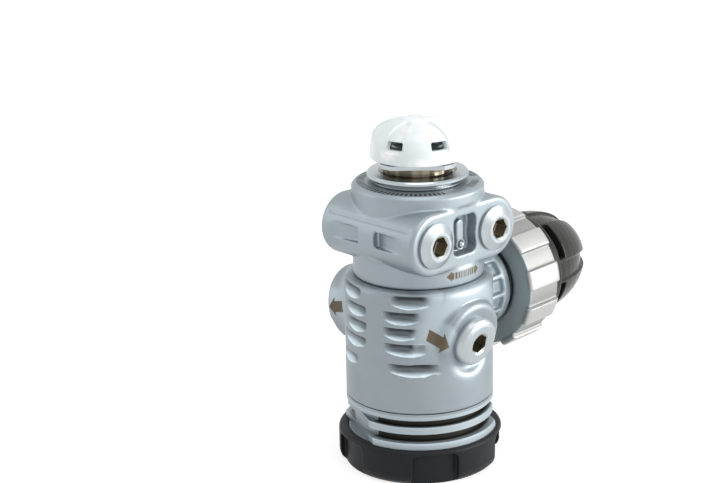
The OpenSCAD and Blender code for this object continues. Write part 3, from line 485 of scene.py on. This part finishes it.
def satin_finish(name, finish, shade, marks=None, painted_light_and_ticks=None):
    """Blasted metal under clear plating. The last two arguments are functions from the finish to
    the share of a laser mark, and to shares and colours of painted highlights, painted shade and
    printed ticks."""
    made = Finish(name, shade, finish.satin_roughness, METAL_SHARE)
    cloud = made.noise(size=9)
    grain = made.noise(size=0.22)
    base = made.clouded(cloud, 0.3, 0.75, brightness=1.07)
    rough = cloud * CLOUD_ROUGHNESS + grain * GRAIN_ROUGHNESS + (made.roughness - LESS_ROUGHNESS)
    # Painted highlights and painted shade, and the turret's printed ticks, over the plating
    for share, colour_there in painted_light_and_ticks(made, finish) if painted_light_and_ticks else ():
        base = made.tint(share, colour_there, over=base)
        rough = rough + share * SHADED_ROUGHNESS
    if marks:
        burnt = marks(made)
        base = made.tint(burnt, finish.mark, over=base)
        made.set("Metallic", METAL_SHARE - burnt * BURNT_LOSS)
        rough = rough + burnt * BURNT_ROUGHNESS
    made.set("Base Color", base)
    made.set("Roughness", rough)
    made.bump(grain, distance=0.006)
    return made.material


def bright_finish(name, finish, roughness):
    """Smooth plating."""
    made = Finish(name, finish.bright, roughness, metallic=1.0)
    cloud = made.noise(size=5, detail=3)
    made.vary_roughness(cloud, spread=0.08)
    made.set("Base Color", made.clouded(cloud, 0.35, 0.7, brightness=1.06))
    made.bump(made.noise(size=0.3), distance=0.003)
    return made.material


def bolt_finish(name, finish):
    """Smooth plating with a mirror-like neck, whose lighter streaks are painted reflections."""
    made = Finish(name, finish.bright, 0.26, metallic=1.0)
    neck = between(made.z, *NECK) & (made.radius(made.x, made.y) < NECK_R)
    # Lighter streaks along the neck are painted reflections
    painted_streak = made.noise(size=2.6, detail=1, stretch=(1, 1, 0.05)).ramp(0.42, 0.62)
    polished_with_reflections = made.tint(painted_streak, lighter(finish.neck, 2.4), over=finish.neck)
    plating = made.clouded(made.noise(size=5, detail=3), 0.35, 0.7, brightness=1.06)
    made.set("Base Color", made.tint(neck, polished_with_reflections, over=plating))
    made.set("Roughness", made.roughness - neck * NECK_POLISH)
    return made.material


def plug_finish(name, finish, port, pitch, socket_top):
    """Smooth plating, a turned thread below the seat, and painted shade down in the hex socket."""
    made = Finish(name, finish.bright, 0.37, metallic=1.0)
    u, v, depth = made.about(*port_line(port))
    # Painted shade down in the hex socket, where little light reaches
    socket = (made.radius(u, v) < SOCKET_R) & between(depth, SOCKET_FLOOR, socket_top)
    plating = made.clouded(made.noise(size=4, detail=3), 0.35, 0.7, brightness=1.08)
    made.set("Base Color", made.tint(socket, finish.socket, over=plating))
    made.vary_roughness(made.noise(size=3), spread=0.06)
    turn = v.calc("ARCTAN2", u) / math.tau
    ridge = abs((depth / pitch + turn).wrapped(0, 1) - 0.5) * 2
    made.bump(ridge * (depth < PLUG_THREAD_TOP), distance=PLUG_THREAD_DEPTH)
    return made.material


def moulded_finish(name, shade, roughness, grain, depth, coat=0.0, shine=0.5):
    """Rubber or plastic with a grain of some depth, both in millimetres, and a little dust."""
    made = Finish(name, shade, roughness)
    dust = made.noise(size=7, detail=4)
    made.set("Base Color", made.clouded(dust, 0.45, 0.8, brightness=1.5))
    made.vary_roughness(dust, spread=0.12)
    made.set("Specular IOR Level", shine)
    made.set("Coat Weight", coat)
    made.bump(made.noise(size=grain, detail=3), distance=depth)
    return made.material


def turned_brass(name, finish):
    """Brass with fine rings from the lathe."""
    made = Finish(name, finish.brass, 0.25, metallic=1.0)
    made.set("Base Color", made.clouded(made.noise(size=3), 0.3, 0.8, brightness=0.8))
    made.bump((made.radius(made.x, made.y) * BRASS_RINGS).calc("SINE"), distance=0.004)
    return made.material


def sintered_bronze(name, finish):
    """Bronze beads baked together."""
    made = Finish(name, finish.bronze, 0.5, metallic=1.0)
    beads = made.noise(size=0.35, detail=1)
    made.set("Base Color", made.clouded(beads, 0.4, 0.65, brightness=1.7))
    made.bump(beads, distance=0.12)
    return made.material


def drawn_wire(name, finish):
    """Dull spring steel."""
    made = Finish(name, lighter(finish.bright, 0.7), 0.275, metallic=1.0)
    made.vary_roughness(made.noise(size=0.8), spread=0.15)
    made.bump(made.noise(size=0.2, detail=1), distance=0.004)
    return made.material


# ---- laser marks and shaded parts ----

def turret_arrow(made):
    """The share of the double-ended striped arrow on the sleeve."""
    turned = made.azimuth() - math.radians(ARROW_AZ)
    along = abs(turned.wrapped(-math.pi, math.pi) * SLEEVE_R)
    across = abs(made.z - ARROW_Z)
    slope = ARROW_HALF_H / (ARROW_TIP - ARROW_BASE)
    head = between(along, ARROW_BASE, ARROW_TIP) & (across < (ARROW_TIP - along) * slope)
    bars = any_of(between(along, *bar) for bar in ARROW_BARS) & (across < BAR_HALF_H)
    return (head | bars) & between(made.radius(made.x, made.y), *SLEEVE_SKIN)


def turret_ring(made, finish):
    """Dark ticks round the disc, with two gaps."""
    azimuth = made.azimuth()
    tick = azimuth.wrapped(0, math.radians(TICK_STEP)) < math.radians(TICK_WIDTH)
    gap = any_of(between(azimuth, *map(math.radians, ends)) for ends in TICK_GAPS)
    disc = between(made.radius(made.x, made.y), *TICK_RING) & (made.z > TICK_MIN_Z)
    return ((tick & disc & (1 - gap), finish.ink),)


def body_marks(made):
    """The share of the bare arrows beside the high pressure ports, which point at them."""
    arrows = []
    for start, along_axis, across_axis, length in PORT_ARROWS:
        along = made.along(start, along_axis)
        across = abs(made.along(start, across_axis))
        off = abs(made.along(start, Vector(along_axis).cross(across_axis)))
        neck = length * PORT_ARROW_NECK
        slope = PORT_ARROW_HEAD_HALF / (length - neck)
        shaft = between(along, 0, neck + PORT_ARROW_OVERLAP) & (across < PORT_ARROW_HALF)
        head = (along > neck) & (across < (length - along) * slope)
        arrows.append((shaft | head) & (off < PORT_ARROW_DEPTH))
    outside = made.radius(made.x, made.y) > PORT_ARROW_MIN_R
    return any_of(arrows) & (made.x < PORT_ARROW_MAX_X) & outside


def body_painted_light(made, finish):
    """Painted shade on the back walls and painted highlights on the lips of the grip slots, and
    painted highlights on the feet and pockets of the bosses.
    """
    radius = made.radius(made.x, made.y)
    over = [made.z - middle for middle in SLOTS_Z]
    wall_shade = any_of(rise.ramp(*SLOT_WALL) & (rise < SLOT_ROOF) for rise in over)
    lip_highlight = any_of((rise > LIP_FOOT) & (1 - rise.ramp(*LIP_TOP)) for rise in over)
    slots = made.x < 0
    foot_highlights = []
    for name in SIDE_PORTS:
        start, axis = port_line(name)
        u, v, depth = made.about(start, axis)
        off = made.radius(u, v)
        slots = slots & (off > SLOT_CLEAR)
        ring = off.ramp(*FOOT_RISE) & (1 - off.ramp(*FOOT_FADE)) & (depth < FOOT_DEPTH)
        foot_highlights.append(ring & made.z.ramp(*(start.z + height for height in FOOT_Z)))
    wall_shade = wall_shade & slots & (1 - radius.ramp(*WALL_SHADE_FADE))
    lip_highlight = lip_highlight & slots & (1 - radius.ramp(*LIP_HIGHLIGHT_FADE))
    pocket_highlight = (made.x > POCKET_X) & (made.radius(made.y, made.z - AXIS_Z) < POCKET_R)
    return (painted_light_pair(any_of(foot_highlights), finish.satin, FOOT_HIGHLIGHT),
            painted_light_pair(pocket_highlight, finish.satin, POCKET_HIGHLIGHT),
            (wall_shade, finish.slot),
            painted_light_pair(lip_highlight, finish.satin, LIP_HIGHLIGHT))


def cap_painted_light(made, finish):
    """Painted highlights on the fins, and painted shade in the grooves except where the spanner
    flats cut them away.
    """
    radius = made.radius(made.x, made.y)
    flat = math.radians(FLAT_AZ)
    off_flat = abs(made.x * math.sin(flat) - made.y * math.cos(flat)) > FLAT_HALF
    groove_shade = any_of(between(made.z, *ends) for ends in GROOVES)
    groove_shade = groove_shade & (1 - radius.ramp(*GROOVE_FADE)) & off_flat
    fin_highlight = (made.z < FINS_TOP) & radius.ramp(*FIN_FADE)
    return painted_light_pair(fin_highlight, finish.satin, FIN_HIGHLIGHT), (groove_shade, finish.groove_shade)


def wheel_painted_shade(made, finish):
    """Painted shade on the handwheel's back face and its rim, and in the valleys between its
    lobes.
    """
    radius = made.radius(made.y, made.z - AXIS_Z)
    back_shade = (made.x < WHEEL_BACK_X) & (1 - radius.ramp(*WHEEL_BACK_FADE))
    edge_shade = between(made.x, *WHEEL_EDGE_X) & (radius < WHEEL_EDGE_R)
    valley_shade = 1 - radius.ramp(*WHEEL_VALLEY_FADE)
    return painted_light_pair(valley_shade, finish.wheel, VALLEY_PAINTED_SHADE), (back_shade | edge_shade, finish.wheel_back_shade)


# ---- operators ----

def dress(material, *names):
    """The CAD nodes of these names take the material."""
    for name in names:
        piece = frame["nodes"][name]
        piece.data.materials.clear()
        piece.data.materials.append(material)


class REGULATOR_OT_metal(bpy.types.Operator):
    """Finish the plated and turned metal pieces"""
    bl_idname = "regulator.metal"
    bl_label = "Metal Finishes"

    def execute(self, context):
        finish = context.scene.regulator_finish
        satin = finish.satin
        turret = lighter(satin, TURRET_BRIGHTNESS)
        # The body, end cap and handwheel get painted highlights and painted shade, the turret its
        # ticks
        for node, name, shade, marks, painted_light_and_ticks in (
                ("main_body", "satin_body", satin, body_marks, body_painted_light),
                ("turret", "satin_turret", turret, turret_arrow, turret_ring),
                ("end_cap", "satin_end_cap", satin, None, cap_painted_light),
                ("handwheel", "satin_wheel", finish.wheel, None, wheel_painted_shade),
                ("diaphragm_clamp", "satin_plain", satin, None, None)):
            dress(satin_finish(name, finish, shade, marks, painted_light_and_ticks), node)
        dress(bolt_finish("bright_bolt", finish), "turret_bolt")
        dress(bright_finish("bright_plating", finish, 0.2),
              "din_bolt", "din_coupling", "passage_balls", "inlet_valve", "valve_lifter")
        for plug, port, pitch, socket_top in PLUGS:
            dress(plug_finish("bright_" + plug, finish, port, pitch, socket_top), plug)
        dress(turned_brass("turned_brass", finish),
              "spring_adjuster", "spring_carrier", "valve_seat", "valve_guide")
        dress(sintered_bronze("sintered_bronze", finish), "din_filter")
        dress(drawn_wire("drawn_wire", finish), "main_spring", "valve_spring", "filter_clip")
        return {"FINISHED"}


class REGULATOR_OT_rubber(bpy.types.Operator):
    """Finish the rubber and plastic pieces"""
    bl_idname = "regulator.rubber"
    bl_label = "Rubber and Plastic Finishes"

    def execute(self, context):
        finish = context.scene.regulator_finish
        seals = [name for name in frame["nodes"] if "_seal" in name]
        dress(moulded_finish("cover_rubber", finish.rubber, roughness=0.5, grain=0.4, depth=0.02,
                             shine=0.2), "base_cover")
        dress(moulded_finish("black_plastic", finish.black_plastic, roughness=0.22, grain=0.6,
                             depth=0.003, shine=0.25), "din_dust_cap")
        dress(moulded_finish("white_plastic", finish.white_plastic, roughness=0.35, grain=0.8,
                             depth=0.01, coat=0.2), "turret_dust_cap")
        dress(moulded_finish("grey_plastic", finish.grey_plastic, roughness=0.4, grain=0.5,
                             depth=0.01), "load_transmitter")
        dress(moulded_finish("diaphragm_rubber", finish.diaphragm, roughness=0.4, grain=0.5,
                             depth=0.01), "environmental_diaphragm", "main_diaphragm")
        dress(moulded_finish("seal_rubber", finish.seal, roughness=0.3, grain=0.5, depth=0.004),
              *seals)
        return {"FINISHED"}


def alone(piece):
    """Only this piece is selected, and it is the active one."""
    bpy.ops.object.select_all(action="DESELECT")
    piece.select_set(True)
    bpy.context.view_layer.objects.active = piece


def apply_modifier(piece, kind, **values):
    alone(piece)
    modifier = piece.modifiers.new(kind.lower(), kind)
    for name, value in values.items():
        setattr(modifier, name, value)
    bpy.ops.object.modifier_apply(modifier=modifier.name)


def within(value, low, high):
    """How far a value lies inside a range; less than 0 outside it."""
    return min(value - low, high - value)


def flow_bosses(piece):
    """Smooths the crease where each side boss leaves the barrel, and the seat's lower edge."""
    foot = piece.vertex_groups.new(name="foot")
    seat = piece.vertex_groups.new(name="seat")
    lines = [port_line(name) for name in SIDE_PORTS]
    for vertex in piece.data.vertices:
        point = vertex.co * PER_METRE
        for start, axis in lines:
            depth = (point - start).dot(axis)
            off = (point - start - axis * depth).length
            skin = off > SLOT_END_R or math.hypot(point.x, point.y) > BARREL_SKIN_R
            ease = min(within(off, *FLOW_R), within(depth, *FLOW_DEPTH))
            if skin and ease > 0:
                foot.add([vertex.index], min(1.0, ease / FLOW_EASE), "REPLACE")
            ease = min(within(off, *SEAT_R), within(depth, *SEAT_DEPTH),
                       start.z - SEAT_DROP - point.z)
            if ease > 0:
                seat.add([vertex.index], min(1.0, ease / SEAT_EASE), "REPLACE")
    for group, steps in (("foot", FLOW_STEPS), ("seat", SEAT_STEPS)):
        apply_modifier(piece, "SMOOTH", factor=SMOOTHING, iterations=steps, vertex_group=group)
    piece.vertex_groups.clear()


def widen_cap(piece):
    """The white cap gets its final width and height."""
    stretch = Matrix.Diagonal((CAP_WIDE, CAP_WIDE, CAP_TALL, 1))
    stretch.translation.z = (CAP_FOOT_Z * (1 - CAP_TALL) + CAP_LIFT) * MM
    piece.data.transform(stretch)


def softened(node, name, voxel, smoothing):
    """A copy of a CAD node whose edges are rounded as blasting and moulding leave them."""
    source = frame["nodes"][node]
    piece = source.copy()
    piece.data = source.data.copy()
    piece.name = name
    piece.parent = None
    for key in list(piece.keys()):
        del piece[key]
    bpy.context.scene.collection.objects.link(piece)
    alone(piece)
    bpy.ops.object.mode_set(mode="EDIT")
    bpy.ops.mesh.select_all(action="SELECT")
    bpy.ops.mesh.remove_doubles(threshold=MERGE * MM)
    bpy.ops.object.mode_set(mode="OBJECT")
    apply_modifier(piece, "REMESH", mode="VOXEL", voxel_size=voxel * MM, adaptivity=0)
    apply_modifier(piece, "SMOOTH", factor=SMOOTHING, iterations=smoothing)
    if node == "main_body":
        flow_bosses(piece)
    if node == "turret_dust_cap":
        widen_cap(piece)
    triangles = sum(len(face.vertices) - 2 for face in piece.data.polygons)
    if triangles > MOST_TRIANGLES:
        apply_modifier(piece, "DECIMATE", ratio=MOST_TRIANGLES / triangles)
    bpy.ops.object.shade_smooth()
    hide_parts(node)
    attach(piece, source["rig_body"])
    return piece


class REGULATOR_OT_castings(bpy.types.Operator):
    """Round the edges of the large shells"""
    bl_idname = "regulator.castings"
    bl_label = "Rounded Shells"

    def execute(self, context):
        for node, name, voxel, smoothing in SHELLS:
            piece = softened(node, name, voxel, smoothing)
            piece.data.materials.clear()
            piece.data.materials.append(frame["nodes"][node].data.materials[0])
        return {"FINISHED"}


def loop(name, points):
    """A closed loop through points in millimetres."""
    bpy.ops.object.select_all(action="DESELECT")
    bpy.ops.mesh.primitive_circle_add(vertices=len(points), radius=MM)
    piece = bpy.context.object
    piece.name = name
    for vertex, point in zip(piece.data.vertices, points):
        vertex.co = Vector(point) * MM
    return piece


def face_outwards():
    """The mesh in edit mode faces outwards, and edit mode ends."""
    bpy.ops.mesh.select_all(action="SELECT")
    bpy.ops.mesh.normals_make_consistent(inside=False)
    bpy.ops.object.mode_set(mode="OBJECT")


def spun(name, profile):
    """A closed profile, spun round the connector's axis."""
    piece = loop(name, [(x, 0, AXIS_Z + radius) for radius, x in profile])
    bpy.ops.object.mode_set(mode="EDIT")
    bpy.ops.mesh.select_all(action="SELECT")
    bpy.ops.mesh.spin(steps=SLEEVE_STEPS, angle=math.tau, center=(0, 0, AXIS_Z * MM),
                      axis=(1, 0, 0))
    bpy.ops.mesh.select_all(action="SELECT")
    bpy.ops.mesh.remove_doubles(threshold=MERGE / 2 * MM)
    face_outwards()
    return piece


def wound(name, profile, pitch, start, end):
    """A helical ridge round the connector's axis, from x = start to end, with closed ends."""
    piece = loop(name, [(radius, 0, x) for radius, x in profile])
    apply_modifier(piece, "SCREW", angle=math.tau, screw_offset=pitch * MM,
                   iterations=int((end - start) / pitch), steps=THREAD_STEPS,
                   render_steps=THREAD_STEPS, use_merge_vertices=False,
                   use_normal_calculate=True)
    piece.matrix_world = (Matrix.Translation((start * MM, 0, AXIS_Z * MM))
                          @ Matrix.Rotation(math.radians(90), 4, "Y"))
    bpy.ops.object.transform_apply(location=True, rotation=True, scale=True)
    bpy.ops.object.mode_set(mode="EDIT")
    bpy.ops.mesh.select_all(action="DESELECT")
    bpy.ops.mesh.select_non_manifold(extend=False)
    bpy.ops.mesh.fill_holes(sides=0)
    face_outwards()
    return piece


class REGULATOR_OT_thread(bpy.types.Operator):
    """Cut the connector's thread"""
    bl_idname = "regulator.thread"
    bl_label = "Connector Thread"

    def execute(self, context):
        sleeve = spun("threaded_sleeve", SLEEVE)
        ridge = wound("thread_ridge", THREAD, THREAD_PITCH, *THREAD_X)
        for piece in (sleeve, ridge):
            alone(piece)
            bpy.ops.object.shade_smooth_by_angle(angle=math.radians(30))
            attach(piece, "handwheel")
            piece.data.materials.append(frame["nodes"]["din_coupling"].data.materials[0])
        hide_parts("din_coupling")
        return {"FINISHED"}


def seen_ray(tree):
    """1 for rays from the camera, from a mirror-like surface or through glass."""
    path = tree.nodes.new("ShaderNodeLightPath")
    return any_of(Wire(tree, path.outputs[name]) for name in (
        "Is Camera Ray", "Is Glossy Ray", "Is Transmission Ray"))


class REGULATOR_OT_stage(bpy.types.Operator):
    """Set up the camera, the floor and the light"""
    bl_idname = "regulator.stage"
    bl_label = "Stage"

    def camera(self, context, stage):
        right, up = Vector(CAMERA_RIGHT), Vector(CAMERA_UP)
        data = bpy.data.cameras.new("camera")
        data.lens = stage.lens / MM
        data.clip_start = CLIP_START
        camera = bpy.data.objects.new("camera", data)
        turn = Matrix((right, up, right.cross(up))).transposed()
        camera.matrix_world = Matrix.Translation(CAMERA_PLACE) @ turn.to_4x4()
        context.scene.collection.objects.link(camera)
        context.scene.camera = camera

    def lamp(self, context, name, place, size, shade, energy):
        data = bpy.data.lights.new(name, "AREA")
        data.shape = "RECTANGLE"
        data.size, data.size_y = size
        data.energy = energy
        data.color = shade
        lamp = bpy.data.objects.new(name, data)
        aim = (Vector(LAMP_TARGET) - Vector(place)).to_track_quat("-Z", "Y")
        lamp.matrix_world = Matrix.Translation(place) @ aim.to_matrix().to_4x4()
        context.scene.collection.objects.link(lamp)

    def floor(self):
        """A glowing pale floor for the camera, which is plain grey to the light."""
        bpy.ops.object.select_all(action="DESELECT")
        bpy.ops.mesh.primitive_plane_add(size=FLOOR_SIZE, location=(0, 0, 0))
        floor = bpy.context.object
        floor.name = "floor"
        material = bpy.data.materials.new("floor")
        material.use_nodes = True
        tree = material.node_tree
        shader = tree.nodes["Principled BSDF"]
        glow = tree.nodes.new("ShaderNodeEmission")
        both = tree.nodes.new("ShaderNodeAddShader")
        plain = tree.nodes.new("ShaderNodeBsdfDiffuse")
        mix = tree.nodes.new("ShaderNodeMixShader")
        for node, name, value in (
                (shader, "Base Color", FLOOR_GREY),
                (shader, "Roughness", FLOOR_ROUGHNESS),
                (shader, "Specular IOR Level", 0),
                (glow, "Strength", FLOOR_GLOW),
                (plain, "Color", FLOOR_BOUNCE)):
            node.inputs[name].default_value = value
        for output, socket in (
                (shader.outputs[0], both.inputs[0]),
                (glow.outputs[0], both.inputs[1]),
                (seen_ray(tree).socket, mix.inputs[0]),
                (plain.outputs[0], mix.inputs[1]),
                (both.outputs[0], mix.inputs[2]),
                (mix.outputs[0], tree.nodes["Material Output"].inputs["Surface"])):
            tree.links.new(output, socket)
        floor.data.materials.append(material)

    def world(self, context, stage):
        """White where it is seen, and the even light elsewhere."""
        world = bpy.data.worlds.new("studio")
        context.scene.world = world
        world.use_nodes = True
        tree = world.node_tree
        background = tree.nodes["Background"]
        background.inputs["Color"].default_value = WHITE
        strength = seen_ray(tree) * (1 - stage.ambient) + stage.ambient
        tree.links.new(strength.socket, background.inputs["Strength"])

    def execute(self, context):
        stage = context.scene.regulator_stage
        self.camera(context, stage)
        self.floor()
        self.world(context, stage)
        for name, place, size, shade in LAMPS:
            self.lamp(context, name, place, size, shade, getattr(stage, name))
        context.scene.view_settings.view_transform = "Standard"
        return {"FINISHED"}


class REGULATOR_PT_panel(bpy.types.Panel):
    """Finishes and pieces of the regulator"""
    bl_label = "Regulator"
    bl_idname = "REGULATOR_PT_panel"
    bl_space_type = "VIEW_3D"
    bl_region_type = "UI"
    bl_category = "Regulator"

    def draw(self, context):
        layout = self.layout
        for settings in (context.scene.regulator_finish, context.scene.regulator_stage):
            box = layout.box()
            for name in settings.bl_rna.properties.keys():
                if name not in ("rna_type", "name"):
                    box.prop(settings, name)
        for operator in OPERATORS:
            layout.operator(operator.bl_idname)


OPERATORS = (REGULATOR_OT_metal, REGULATOR_OT_rubber, REGULATOR_OT_castings, REGULATOR_OT_thread,
             REGULATOR_OT_stage)
CLASSES = (FinishSettings, StageSettings, *OPERATORS, REGULATOR_PT_panel)


def register():
    for made in CLASSES:
        bpy.utils.register_class(made)
    bpy.types.Scene.regulator_finish = PointerProperty(type=FinishSettings)
    bpy.types.Scene.regulator_stage = PointerProperty(type=StageSettings)


def unregister():
    del bpy.types.Scene.regulator_stage
    del bpy.types.Scene.regulator_finish
    for made in reversed(CLASSES):
        bpy.utils.unregister_class(made)


def main():
    register()
    bpy.ops.regulator.metal()
    bpy.ops.regulator.rubber()
    bpy.ops.regulator.castings()
    bpy.ops.regulator.thread()
    bpy.ops.regulator.stage()


if __name__ == "__main__":
    main()
